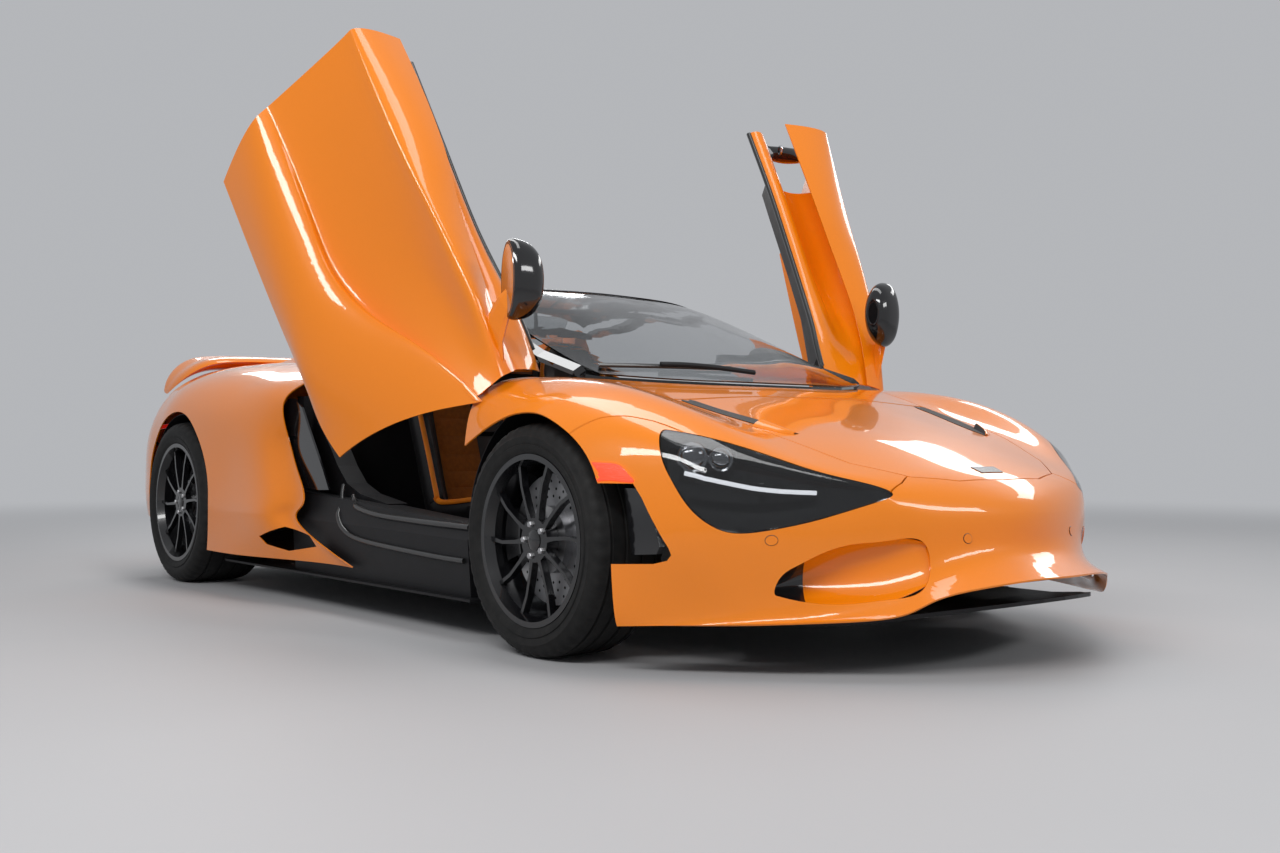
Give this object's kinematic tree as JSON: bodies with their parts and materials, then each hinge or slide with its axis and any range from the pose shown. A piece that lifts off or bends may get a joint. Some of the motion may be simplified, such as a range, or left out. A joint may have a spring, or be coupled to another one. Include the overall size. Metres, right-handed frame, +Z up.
{
  "type": "supercar",
  "caption": "Low mid-engined two-seat car with raised upward-swinging doors, closed hard top and a rear wing; it rolls on steered wheels.",
  "frame": {"origin": "on the ground under the middle of the length and width", "axes": "+X to the nose, +Y to the car's left side, +Z up"},
  "size_m": [4.5661, 2.6434, 1.9299],
  "materials": {
    "paint": "gloss",
    "gloss_black": "gloss",
    "black_plastic": "matt",
    "dark_glass": "gloss",
    "lamp_glass": "gloss",
    "red_lamp": "gloss",
    "tyre": "matt",
    "rim_black": "satin",
    "disc_metal": "machined",
    "caliper_black": "gloss",
    "alloy": "cast",
    "steel": "polished",
    "cabin_trim": "satin"
  },
  "bodies": {
    "car_body": {"arch_liners": "black_plastic", "bumper_scoops": "paint", "centre_console": "cabin_trim", "cowl_panel": "paint", "dashboard": "cabin_trim", "diffuser": "black_plastic", "engine_block": "alloy", "exhaust_pipes": "steel", "front_bumper": "paint", "front_fenders": "paint", "front_subframe": "black_plastic", "headlamp_lenses": "lamp_glass", "headlamp_pods": "gloss_black", "luggage_tub": "black_plastic", "rear_calipers": "caliper_black", "rear_deck": "paint", "rear_quarters": "paint", "rear_subframe": "black_plastic", "rear_window": "dark_glass", "roof_panel": "gloss_black", "seats": "cabin_trim", "splitter": "black_plastic", "steering_wheel": "cabin_trim", "suspension_arms": "alloy", "tail_lamps": "red_lamp", "tail_panel": "paint", "tub": "black_plastic", "underfloor": "black_plastic", "vent_faces": "gloss_black", "windscreen": "dark_glass", "windscreen_frame": "gloss_black"},
    "door_left_body": {"door_left": "paint", "door_channel_left": "paint", "door_card_left": "cabin_trim", "door_mirror_left": "gloss_black", "mirror_arm_left": "paint"},
    "front_upright_left": {"knuckle_front_left": "alloy", "caliper_front_left": "caliper_black"},
    "wheel_front_left": {"tyre_front_left": "tyre", "rim_front_left": "rim_black", "brake_disc_front_left": "disc_metal"},
    "wheel_rear_left": {"tyre_rear_left": "tyre", "rim_rear_left": "rim_black", "brake_disc_rear_left": "disc_metal"},
    "door_right_body": {"door_right": "paint", "door_channel_right": "paint", "door_card_right": "cabin_trim", "door_mirror_right": "gloss_black", "mirror_arm_right": "paint"},
    "front_upright_right": {"knuckle_front_right": "alloy", "caliper_front_right": "caliper_black"},
    "wheel_front_right": {"tyre_front_right": "tyre", "rim_front_right": "rim_black", "brake_disc_front_right": "disc_metal"},
    "wheel_rear_right": {"tyre_rear_right": "tyre", "rim_rear_right": "rim_black", "brake_disc_rear_right": "disc_metal"},
    "bonnet_lid": {"bonnet": "paint"},
    "rear_wing_blade": {"rear_wing": "paint"}
  },
  "joints": [
    {"name": "steer_left", "type": "hinge", "parent": "car_body", "child": "front_upright_left", "pos_m": [1.1845, 0.735, 0.327], "axis": [0, 0, 1], "range_deg": [-30, 30]},
    {"name": "spin_front_left", "type": "hinge", "parent": "front_upright_left", "child": "wheel_front_left", "pos_m": [1.1845, 0.84, 0.327], "axis": [0, 1, 0], "continuous": true},
    {"name": "spin_rear_left", "type": "hinge", "parent": "car_body", "child": "wheel_rear_left", "pos_m": [-1.4855, 0.8145, 0.3455], "axis": [0, 1, 0], "continuous": true},
    {"name": "steer_right", "type": "hinge", "parent": "car_body", "child": "front_upright_right", "pos_m": [1.1845, -0.735, 0.327], "axis": [0, 0, 1], "range_deg": [-30, 30]},
    {"name": "spin_front_right", "type": "hinge", "parent": "front_upright_right", "child": "wheel_front_right", "pos_m": [1.1845, -0.84, 0.327], "axis": [0, 1, 0], "continuous": true},
    {"name": "spin_rear_right", "type": "hinge", "parent": "car_body", "child": "wheel_rear_right", "pos_m": [-1.4855, -0.8145, 0.3455], "axis": [0, 1, 0], "continuous": true},
    {"name": "door_left_swing", "type": "hinge", "parent": "car_body", "child": "door_left_body", "pos_m": [0.858, 0.76, 0.713], "axis": [0.1679, 0.9325, -0.3198], "range_deg": [-64.6, 0]},
    {"name": "door_right_swing", "type": "hinge", "parent": "car_body", "child": "door_right_body", "pos_m": [0.858, -0.76, 0.713], "axis": [-0.1679, 0.9325, 0.3198], "range_deg": [-64.6, 0]},
    {"name": "bonnet_lift", "type": "hinge", "parent": "car_body", "child": "bonnet_lid", "pos_m": [1.368, 0, 0.714], "axis": [0, -1, 0], "range_deg": [0, 50]},
    {"name": "wing_brake", "type": "hinge", "parent": "car_body", "child": "rear_wing_blade", "pos_m": [-1.975, 0, 0.983], "axis": [0, 1, 0], "range_deg": [0, 35]}
  ],
  "couplings": [
    {"joint": "steer_right", "follows": "steer_left", "ratio": 1}
  ]
}
